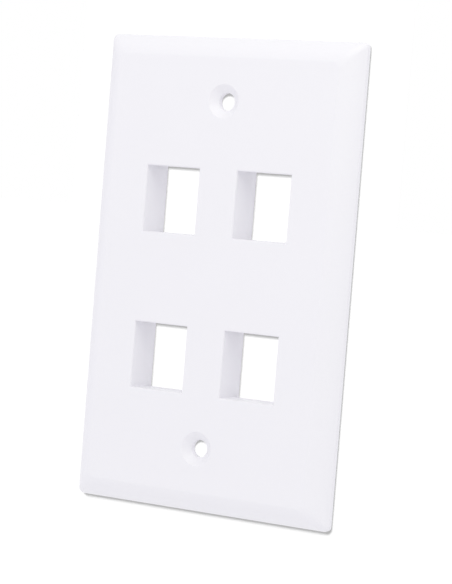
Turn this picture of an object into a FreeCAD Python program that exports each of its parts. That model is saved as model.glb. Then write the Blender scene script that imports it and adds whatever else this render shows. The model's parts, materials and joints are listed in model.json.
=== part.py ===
"""Single gang wall plate with four keystone ports, moulded as one piece.

Millimetres. X runs to the right as the room sees the plate, Y runs into the wall and Z is up.
The origin is the middle of the plate, on the wall surface that the rim rests against.
"""
import FreeCAD, Part
import math
import os

from FreeCAD import Vector

# Outline and crown: a straight rim, then a gently rounded bevel up to the flat face
PLATE_WIDTH = 69.85
PLATE_HEIGHT = 114.3
CORNER_ROUND = 1.2
RIM_HEIGHT = 1.4
BEVEL_RUN = 5.0
BEVEL_DROP = 4.2
BEVEL_FACE_ANGLE = 12.2
FACE_CORNER_ROUND = 1.8
RIM_EDGE_ROUND = 0.6
FACE_EDGE_ROUND = 1.5

# Outlines that guide the bevel's curve, counted from the rim's edge to the face
BEVEL_STEPS = 4

# Hollow back
SKIN = 2.0
HOLLOW_CORNER_ROUND = 0.8

# Port openings, as the room sees them
PORT_COLUMNS = 2
PORT_ROWS = 2
PORT_WIDTH = 14.6
PORT_HEIGHT = 16.1
PORT_PITCH_X = 25.0
PORT_PITCH_Z = 38.1
PORT_GROUP_DROP = 1.7
PORT_EDGE_ROUND = 0.3

# Keystone section of a port: above, a lip, a groove and a catch follow each other to the back
LATCH_LIP = 4.0
LATCH_GROOVE = 3.8
LATCH_GROOVE_HEIGHT = 3.4
LATCH_CATCH = 2.0
LATCH_CATCH_REACH = 1.6

# Below, a long ledge ends in a narrow groove and a thin catch
HOOK_GROOVE = 1.2
HOOK_GROOVE_HEIGHT = 1.6
HOOK_CATCH = 0.8
HOOK_CATCH_REACH = 1.2

# Wall round each port behind the face
COLLAR_WALL = 1.4
COLLAR_EDGE_ROUND = 0.5

# Screw holes
SCREW_SPACING = 83.34
SCREW_BORE = 4.3
COUNTERSINK_WIDTH = 8.2
COUNTERSINK_ANGLE = 100.0
BOSS_WALL = 2.4
BOSS_HEIGHT = 1.1

# Cutting tools run this far past the faces that they cut through
OVERCUT = 1.0

# Places closer together than this count as the same
NEAR = 1e-4

# Depths that follow from the sizes above
FACE_DEPTH = RIM_HEIGHT + BEVEL_DROP
FRONT_Y = -FACE_DEPTH
FACE_BACK_Y = FRONT_Y + SKIN
LATCH_CATCH_Y = FRONT_Y + LATCH_LIP + LATCH_GROOVE
COLLAR_BACK_Y = LATCH_CATCH_Y + LATCH_CATCH
HOOK_CATCH_Y = COLLAR_BACK_Y - HOOK_CATCH
BOSS_BACK_Y = FACE_BACK_Y + BOSS_HEIGHT
INTO_WALL = Vector(0, 1, 0)


def rounded_outline(width, height, radius, y):
    """Closed outline of a rounded rectangle that stands at one depth."""
    corners = []
    for side_x, side_z, start in ((1, 1, 0), (-1, 1, 90), (-1, -1, 180), (1, -1, 270)):
        centre = Vector(side_x * (width / 2 - radius), y, side_z * (height / 2 - radius))
        turns = [math.radians(start + step) for step in (0, 45, 90)]
        corners.append([centre + Vector(math.cos(turn), 0, math.sin(turn)) * radius for turn in turns])
    edges = []
    for corner, following in zip(corners, corners[1:] + corners[:1]):
        edges.append(Part.Arc(*corner).toShape())
        edges.append(Part.LineSegment(corner[-1], following[0]).toShape())
    return Part.Wire(edges)


def bevel_outlines(skin, rim_corner, face_corner):
    """Outlines up the rounded bevel, from the rim to the front, set inwards by a skin.

    The bevel's section is an arc from the rim's edge to the face's edge, which it meets at a low
    angle. A skin inside it follows the same arc at an even distance.
    """
    chord = math.hypot(BEVEL_RUN, BEVEL_DROP)
    chord_lean = math.atan2(BEVEL_DROP, BEVEL_RUN)
    meeting_lean = math.radians(BEVEL_FACE_ANGLE)
    outer_radius = chord / (2 * math.sin(chord_lean - meeting_lean))
    centre_inset = BEVEL_RUN + outer_radius * math.sin(meeting_lean)
    centre_height = FACE_DEPTH - outer_radius * math.cos(meeting_lean)
    radius = outer_radius - skin
    rim_lean = math.asin((centre_inset - skin) / radius)
    face_lean = math.acos((FACE_DEPTH - skin - centre_height) / radius)
    outlines = []
    for step in range(BEVEL_STEPS + 1):
        share = step / BEVEL_STEPS
        lean = rim_lean + (face_lean - rim_lean) * share
        inset = centre_inset - radius * math.sin(lean)
        height = centre_height + radius * math.cos(lean)
        corner = rim_corner + (face_corner - rim_corner) * share
        outlines.append(
            rounded_outline(PLATE_WIDTH - 2 * inset, PLATE_HEIGHT - 2 * inset, corner, -height)
        )
    return outlines


def bevelled_block(outlines, back_y):
    """A straight rim from back_y up to the first outline, then a bevel through the others."""
    rim = Part.Face(outlines[0])
    rim_y = rim.BoundBox.Center.y
    bevel = Part.makeLoft(outlines, True, False)
    return rim.extrude(INTO_WALL * (back_y - rim_y)).fuse(bevel).removeSplitter()


def edges_at_depth(shape, y):
    """The edges that lie wholly at one depth."""
    return [
        edge
        for edge in shape.Edges
        if abs(edge.BoundBox.YMin - y) < NEAR and abs(edge.BoundBox.YMax - y) < NEAR
    ]


def crown():
    """The solid outer form, with a rolled rim edge and an eased face edge."""
    block = bevelled_block(bevel_outlines(0, CORNER_ROUND, FACE_CORNER_ROUND), 0)
    block = block.makeFillet(RIM_EDGE_ROUND, edges_at_depth(block, -RIM_HEIGHT))
    return block.makeFillet(FACE_EDGE_ROUND, edges_at_depth(block, FRONT_Y))


def hollow():
    """The open back: the crown's section set inwards by one skin on every face."""
    well_behind_y = FACE_DEPTH
    return bevelled_block(bevel_outlines(SKIN, HOLLOW_CORNER_ROUND, HOLLOW_CORNER_ROUND), well_behind_y)


def port_centres():
    """Middles of the openings, row by row from the top."""
    centres = []
    for row in range(PORT_ROWS):
        for column in range(PORT_COLUMNS):
            x = (column - (PORT_COLUMNS - 1) / 2) * PORT_PITCH_X
            z = ((PORT_ROWS - 1) / 2 - row) * PORT_PITCH_Z - PORT_GROUP_DROP
            centres.append(Vector(x, 0, z))
    return centres


def port_collar():
    """The wall that stands behind one opening, rooted in the skin, with eased upright edges."""
    root_y = FACE_BACK_Y - SKIN / 2
    top = PORT_HEIGHT / 2 + LATCH_GROOVE_HEIGHT + COLLAR_WALL
    bottom = -(PORT_HEIGHT / 2 + HOOK_GROOVE_HEIGHT + COLLAR_WALL)
    width = PORT_WIDTH + 2 * COLLAR_WALL
    block = Part.makeBox(width, COLLAR_BACK_Y - root_y, top - bottom, Vector(-width / 2, root_y, bottom))
    upright_edges = [edge for edge in block.Edges if edge.BoundBox.YLength > NEAR]
    return block.makeFillet(COLLAR_EDGE_ROUND, upright_edges)


def port_passage():
    """The space inside one port: a keystone section in depth and height, across the port's width.

    Above the opening a tall groove takes the spring latch of a jack. Below it a low one takes the
    fixed hook. Both end in a catch that ramps away to the back, where the jack is pushed in.
    """
    top = PORT_HEIGHT / 2
    latch_top = top + LATCH_GROOVE_HEIGHT
    hook_bottom = -top - HOOK_GROOVE_HEIGHT
    lip_y = FRONT_Y + LATCH_LIP
    ledge_y = HOOK_CATCH_Y - HOOK_GROOVE
    section = [
        (FRONT_Y - OVERCUT, top),
        (lip_y, top),
        (lip_y, latch_top),
        (LATCH_CATCH_Y, latch_top),
        (LATCH_CATCH_Y, latch_top - LATCH_CATCH_REACH),
        (COLLAR_BACK_Y, latch_top),
        (COLLAR_BACK_Y + OVERCUT, latch_top),
        (COLLAR_BACK_Y + OVERCUT, hook_bottom),
        (COLLAR_BACK_Y, hook_bottom),
        (HOOK_CATCH_Y, hook_bottom + HOOK_CATCH_REACH),
        (HOOK_CATCH_Y, hook_bottom),
        (ledge_y, hook_bottom),
        (ledge_y, -top),
        (FRONT_Y - OVERCUT, -top),
    ]
    points = [Vector(-PORT_WIDTH / 2, y, z) for y, z in section]
    outline = Part.makePolygon(points + points[:1])
    return Part.Face(outline).extrude(Vector(PORT_WIDTH, 0, 0))


def is_port_edge(edge):
    """True for an edge of an opening's front outline."""
    middle = edge.BoundBox.Center
    for centre in port_centres():
        within_width = abs(middle.x - centre.x) < PORT_WIDTH / 2 + NEAR
        within_height = abs(middle.z - centre.z) < PORT_HEIGHT / 2 + NEAR
        if within_width and within_height:
            return True
    return False


def screw_centres():
    """Middles of the two screw holes."""
    return [Vector(0, 0, side * SCREW_SPACING / 2) for side in (1, -1)]


def screw_boss():
    """The low ring that thickens the skin behind a screw hole."""
    root_y = FACE_BACK_Y - SKIN / 2
    return Part.makeCylinder(
        SCREW_BORE / 2 + BOSS_WALL, BOSS_BACK_Y - root_y, Vector(0, root_y, 0), INTO_WALL
    )


def screw_passage():
    """Straight bore, with a cone for the screw's head at the front."""
    bore_radius = SCREW_BORE / 2
    head_radius = COUNTERSINK_WIDTH / 2
    cone_depth = (head_radius - bore_radius) / math.tan(math.radians(COUNTERSINK_ANGLE / 2))
    front = Vector(0, FRONT_Y, 0)
    cone = Part.makeCone(head_radius, bore_radius, cone_depth, front, INTO_WALL)
    bore = Part.makeCylinder(bore_radius, SKIN + BOSS_HEIGHT + OVERCUT, front, INTO_WALL)
    return bore.fuse(cone)


def at_each(shape, centres):
    """Copies of a shape, one at each centre."""
    copies = []
    for centre in centres:
        copy = shape.copy()
        copy.translate(centre)
        copies.append(copy)
    return copies


def wall_plate():
    """The whole moulding."""
    plate = crown().cut(hollow())
    plate = plate.fuse(at_each(port_collar(), port_centres()))
    plate = plate.fuse(at_each(screw_boss(), screw_centres()))
    plate = plate.cut(at_each(port_passage(), port_centres()))
    plate = plate.cut(at_each(screw_passage(), screw_centres()))
    plate = plate.removeSplitter()
    port_edges = [edge for edge in edges_at_depth(plate, FRONT_Y) if is_port_edge(edge)]
    return plate.makeFillet(PORT_EDGE_ROUND, port_edges)


os.makedirs("parts", exist_ok=True)
moulding = wall_plate()
moulding.exportStep("parts/wall_plate.step")
print("solids", len(moulding.Solids), "valid", moulding.isValid(), "volume", round(moulding.Volume, 1))
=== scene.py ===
import json
import math

import bpy
from mathutils import Matrix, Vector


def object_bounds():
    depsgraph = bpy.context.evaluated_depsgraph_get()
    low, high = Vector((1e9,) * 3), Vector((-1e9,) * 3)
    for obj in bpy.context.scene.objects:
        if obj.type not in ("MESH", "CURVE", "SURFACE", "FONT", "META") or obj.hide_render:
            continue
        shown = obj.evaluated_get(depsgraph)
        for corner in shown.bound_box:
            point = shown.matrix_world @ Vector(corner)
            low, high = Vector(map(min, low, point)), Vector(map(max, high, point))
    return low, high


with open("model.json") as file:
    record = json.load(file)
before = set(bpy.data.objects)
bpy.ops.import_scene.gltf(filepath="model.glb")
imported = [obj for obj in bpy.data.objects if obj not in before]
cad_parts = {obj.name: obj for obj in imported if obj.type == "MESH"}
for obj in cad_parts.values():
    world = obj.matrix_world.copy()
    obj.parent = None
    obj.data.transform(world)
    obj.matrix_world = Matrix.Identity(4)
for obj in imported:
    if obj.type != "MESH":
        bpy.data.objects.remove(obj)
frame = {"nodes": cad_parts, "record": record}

cad_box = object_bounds()

# The wall plate is one injection moulding in white ABS: face, rim, port collars and screw bosses are
# a single shot. The mould is finely stoned, so the plastic is satin, with a faint orange peel.
plate = frame["nodes"]["wall_plate"]

PLASTIC_WHITE = (0.889, 0.879, 0.916, 1.0)
PLASTIC_SHADE = (0.876, 0.866, 0.903, 1.0)
PLASTIC_IOR = 1.5
PLASTIC_ROUGHNESS = 0.45
PLASTIC_ROUGHNESS_SPREAD = 0.10
CLOUDING_PER_METRE = 60.0
PEEL_PER_METRE = 900.0
GRAIN_PER_METRE = 4200.0
PEEL_HEIGHT = 0.000004
GRAIN_HEIGHT = 0.0000012
NOISE_MIDDLE = 0.5

# Places of the colour sockets on a Mix node
MIX_FIRST, MIX_SECOND, MIX_RESULT = 6, 7, 2


class Signal:
    """A shader socket that takes part in sums: each operation adds one Math node."""

    def __init__(self, tree, socket=None):
        self.tree = tree
        self.socket = socket

    def node(self, kind, settings, sockets, output=0):
        """Adds a node: its settings come first, then values or signals for its sockets."""
        made = self.tree.nodes.new(kind)
        for name, setting in settings.items():
            setattr(made, name, setting)
        for name, fed in sockets.items():
            if isinstance(fed, Signal):
                self.tree.links.new(fed.socket, made.inputs[name])
            else:
                made.inputs[name].default_value = fed
        return Signal(self.tree, made.outputs[output] if made.outputs else None)

    def combine(self, operation, first, second):
        """Adds a Math node on two values or signals."""
        return self.node("ShaderNodeMath", {"operation": operation}, {0: first, 1: second})

    def blend(self, first, second):
        """Goes from the first colour to the second as this signal goes from 0 to 1."""
        sockets = {"Factor": self, MIX_FIRST: first, MIX_SECOND: second}
        return self.node("ShaderNodeMix", {"data_type": "RGBA"}, sockets, MIX_RESULT)

    def __add__(self, other):
        return self.combine("ADD", self, other)

    def __mul__(self, other):
        return self.combine("MULTIPLY", self, other)

    def __sub__(self, other):
        return self.combine("SUBTRACT", self, other)

    def __rsub__(self, other):
        return self.combine("SUBTRACT", other, self)

    __radd__ = __add__
    __rmul__ = __mul__


def start_material(name):
    """A new material with an empty node tree, and a signal to build it from."""
    material = bpy.data.materials.new(name)
    material.use_nodes = True
    material.node_tree.nodes.clear()
    return material, Signal(material.node_tree)


def moulded_plastic():
    """Satin white plastic: slight clouding of the pigment, orange peel and a finer tool grain."""
    material, start = start_material("white_plastic")
    place = start.node("ShaderNodeTexCoord", {}, {}, "Object")

    def noise(per_metre, detail):
        sockets = {"Vector": place, "Scale": per_metre, "Detail": detail}
        return start.node("ShaderNodeTexNoise", {}, sockets, "Fac")

    clouding = noise(CLOUDING_PER_METRE, detail=3.0)
    peel = noise(PEEL_PER_METRE, detail=2.0)
    grain = noise(GRAIN_PER_METRE, detail=1.0)
    colour = clouding.blend(PLASTIC_SHADE, PLASTIC_WHITE)
    roughness = PLASTIC_ROUGHNESS + PLASTIC_ROUGHNESS_SPREAD * (clouding - NOISE_MIDDLE)
    relief = peel * PEEL_HEIGHT + grain * GRAIN_HEIGHT
    normal = start.node("ShaderNodeBump", {}, {"Height": relief, "Distance": 1.0, "Strength": 1.0})
    surface = start.node(
        "ShaderNodeBsdfPrincipled",
        {},
        {"Base Color": colour, "Roughness": roughness, "IOR": PLASTIC_IOR, "Normal": normal},
    )
    start.node("ShaderNodeOutputMaterial", {}, {"Surface": surface})
    return material


plate.data.materials[0] = moulded_plastic()

# The floor is a wide pale sheet some way below the plate, which hangs free as it does off its wall.
# It shows as white, still takes the plate's shadow, and is clear from below.
FLOOR_BELOW_PLATE = 0.06
FLOOR_REACH = 20.0
FLOOR_WHITE = (0.95, 0.95, 0.95, 1.0)
FLOOR_GLOW = 0.3


def sees_background(start):
    """One for the rays that show the background: straight, mirrored or seen through."""
    straight, mirrored, through = [
        start.node("ShaderNodeLightPath", {}, {}, output)
        for output in ("Is Camera Ray", "Is Glossy Ray", "Is Transmission Ray")
    ]
    return start.combine("MAXIMUM", straight, start.combine("MAXIMUM", mirrored, through))


def floor_sheet():
    """Matt white, lifted to white where it shows."""
    material, start = start_material("floor_sheet")
    matt = start.node("ShaderNodeBsdfDiffuse", {}, {"Color": FLOOR_WHITE})
    glow = start.node("ShaderNodeEmission", {}, {"Strength": sees_background(start) * FLOOR_GLOW})
    upper_side = start.node("ShaderNodeAddShader", {}, {0: matt, 1: glow})
    below = start.node("ShaderNodeNewGeometry", {}, {}, "Backfacing")
    clear = start.node("ShaderNodeBsdfTransparent", {}, {})
    surface = start.node("ShaderNodeMixShader", {}, {0: below, 1: upper_side, 2: clear})
    start.node("ShaderNodeOutputMaterial", {}, {"Surface": surface})
    return material


def lay_sheet(name, corners, material, faces=((0, 1, 2, 3),)):
    """A flat sheet of the stage, with one face round four corners unless others are given."""
    mesh = bpy.data.meshes.new(name)
    mesh.from_pydata(corners, [], faces)
    mesh.materials.append(material)
    sheet = bpy.data.objects.new(name, mesh)
    bpy.context.scene.collection.objects.link(sheet)
    return sheet


floor_z = cad_box[0].z - FLOOR_BELOW_PLATE
floor_corners = [
    (-FLOOR_REACH, -FLOOR_REACH, floor_z),
    (FLOOR_REACH, -FLOOR_REACH, floor_z),
    (FLOOR_REACH, FLOOR_REACH, floor_z),
    (-FLOOR_REACH, FLOOR_REACH, floor_z),
]
lay_sheet("floor", floor_corners, floor_sheet())

# The light is a white tent all round, with a soft key box above the plate to its right, and a weaker
# fill panel at its left.
TENT_LIGHT = (0.839, 0.837, 0.868, 1.0)
TENT_SHOWN = (1.0, 1.0, 1.0, 1.0)

world = bpy.data.worlds.new("white_tent")
world.use_nodes = True
world.node_tree.nodes.clear()
bpy.context.scene.world = world
tent = Signal(world.node_tree)
tent_colour = sees_background(tent).blend(TENT_LIGHT, TENT_SHOWN)
tent_light = tent.node("ShaderNodeBackground", {}, {"Color": tent_colour})
tent.node("ShaderNodeOutputWorld", {}, {"Surface": tent_light})


def soft_box(name, size, power, colour):
    """A square light of one size."""
    light = bpy.data.lights.new(name, "AREA")
    light.size = size
    light.energy = power
    light.color = colour
    return light


def hang_lamp(light, reach, bearing, height):
    """Hangs a lamp at a distance from the plate, to the right of its front and up by two angles."""
    across, up = math.radians(bearing), math.radians(height)
    lamp = bpy.data.objects.new(light.name, light)
    lamp.location = (
        reach * math.cos(up) * math.sin(across),
        -reach * math.cos(up) * math.cos(across),
        reach * math.sin(up),
    )
    lamp.rotation_euler = (-lamp.location).to_track_quat("-Z", "Y").to_euler()
    bpy.context.scene.collection.objects.link(lamp)
    return lamp


key_box = soft_box("key_box", size=0.318, power=0.408, colour=(0.985, 1.0, 0.86))
hang_lamp(key_box, reach=0.40, bearing=39.0, height=51.0)
fill_panel = soft_box("fill_panel", size=0.40, power=0.36, colour=(1.0, 1.0, 1.0))
hang_lamp(fill_panel, reach=0.70, bearing=-60.0, height=0.0)

# The camera stands half a metre off, to the right of the plate and a little above its middle, and is
# rolled slightly, so that the plate leans in the picture. Its offset from the plate's middle runs along
# its own axes: to the right, up and back.
CAMERA_TURN = math.radians(29.51)
CAMERA_TILT = math.radians(2.35)
CAMERA_ROLL = math.radians(4.57)
CAMERA_OFFSET = (0.0011197, -0.0038434, 0.5105209)
FOCAL_PIXELS = 2118.28
PICTURE_HEIGHT_PIXELS = 584
SENSOR = 36.0

camera_data = bpy.data.cameras.new("camera")
camera_data.sensor_width = SENSOR
camera_data.lens = FOCAL_PIXELS * SENSOR / PICTURE_HEIGHT_PIXELS
camera_data.clip_start = 0.01
camera_data.clip_end = 100.0
camera = bpy.data.objects.new("camera", camera_data)
bpy.context.scene.collection.objects.link(camera)
camera.matrix_world = (
    Matrix.Rotation(CAMERA_TURN, 4, "Z")
    @ Matrix.Rotation(math.pi / 2 - CAMERA_TILT, 4, "X")
    @ Matrix.Rotation(CAMERA_ROLL, 4, "Z")
    @ Matrix.Translation(CAMERA_OFFSET)
)
bpy.context.scene.camera = camera
bpy.context.scene.view_settings.view_transform = "Standard"

# The backdrop is a narrow frame of white card just behind the plate's rim, with a tab behind each screw
# hole and a slip in the back of each port. Distant lamps draw the plate's thin shadows on them. They show
# only from the front, straight or mirrored.
CARD_GREY = (0.1, 0.1, 0.1, 1.0)
CARD_GLOW = 0.39
CARD_GAP = 0.0004
CARD_MARGIN = 0.010
CARD_UNDERLAP = 0.005
TAB_GAP = 0.0001
TAB_REACH = 0.005
SLIP_INSET = 0.0002
SLIP_REACH = 0.0073
SLIP_REACH_UP = 0.0112
SLIP_REACH_DOWN = 0.0092
DISTANT_LIGHT = 19.0
DISTANT_REACH = 1.0
METRES_PER_MM = 0.001

# Faces of the card's four sides: its first four corners are its outer edge, the others its inner edge
CARD_SIDES = ((0, 1, 5, 4), (1, 2, 6, 5), (2, 3, 7, 6), (3, 0, 4, 7))


def white_card():
    """Matt card with a glow of its own, which shows from the front and is clear to all other rays."""
    material, start = start_material("white_card")
    shown = sees_background(start)
    behind = start.node("ShaderNodeNewGeometry", {}, {}, "Backfacing")
    matt = start.node("ShaderNodeBsdfDiffuse", {}, {"Color": CARD_GREY})
    glow = start.node("ShaderNodeEmission", {}, {"Strength": CARD_GLOW})
    front = start.node("ShaderNodeAddShader", {}, {0: matt, 1: glow})
    clear = start.node("ShaderNodeBsdfTransparent", {}, {})
    surface = start.node("ShaderNodeMixShader", {}, {0: shown * (1.0 - behind), 1: clear, 2: front})
    start.node("ShaderNodeOutputMaterial", {}, {"Surface": surface})
    return material


def upright_corners(x, y, z, reach, reach_up, reach_down):
    """Corners of an upright rectangle round a point, which faces the front."""
    left, right, bottom, top = x - reach, x + reach, z - reach_down, z + reach_up
    return [(left, y, bottom), (right, y, bottom), (right, y, top), (left, y, top)]


def shine_on(sheets, name, bearing, height, spread):
    """A distant lamp that lights some sheets and nothing else."""
    light = bpy.data.lights.new(name, "SUN")
    light.energy = DISTANT_LIGHT
    light.angle = math.radians(spread)
    lamp = hang_lamp(light, DISTANT_REACH, bearing, height)
    lit = bpy.data.collections.new("lit_by_" + name)
    for sheet in sheets:
        lit.objects.link(sheet)
    lamp.light_linking.receiver_collection = lit


card_white = white_card()
mounts = {mount["name"]: mount for mount in frame["record"]["mounts"]}

card_y = mounts["wall_rim"]["pos_m"][1] + CARD_GAP
card_corners = []
for stretch in (CARD_MARGIN, -CARD_UNDERLAP):
    reach, reach_up = cad_box[1].x + stretch, cad_box[1].z + stretch
    card_corners += upright_corners(0.0, card_y, 0.0, reach, reach_up, reach_up)
card = lay_sheet("card", card_corners, card_white, CARD_SIDES)
shine_on([card], "card_lamp", bearing=-1.0, height=25.5, spread=18.0)

screw_holes = mounts["screw_holes"]
tab_y = screw_holes["pos_m"][1] + TAB_GAP
screw_z = screw_holes["dims"]["spacing_y_mm"] * METRES_PER_MM / 2
tabs = []
for z in (screw_z, -screw_z):
    tab_corners = upright_corners(0.0, tab_y, z, TAB_REACH, TAB_REACH, TAB_REACH)
    tabs.append(lay_sheet("tab", tab_corners, card_white))
shine_on(tabs, "tab_lamp", bearing=4.0, height=24.0, spread=14.0)

for row, lamp_height in (("upper", 3.0), ("lower", 7.4)):
    slips = []
    for side in ("left", "right"):
        x, collar_y, z = mounts["port_" + row + "_" + side]["pos_m"]
        slip_y = collar_y - SLIP_INSET
        slip_corners = upright_corners(x, slip_y, z, SLIP_REACH, SLIP_REACH_UP, SLIP_REACH_DOWN)
        slips.append(lay_sheet("slip", slip_corners, card_white))
    shine_on(slips, row + "_slip_lamp", bearing=-1.6, height=lamp_height, spread=5.0)
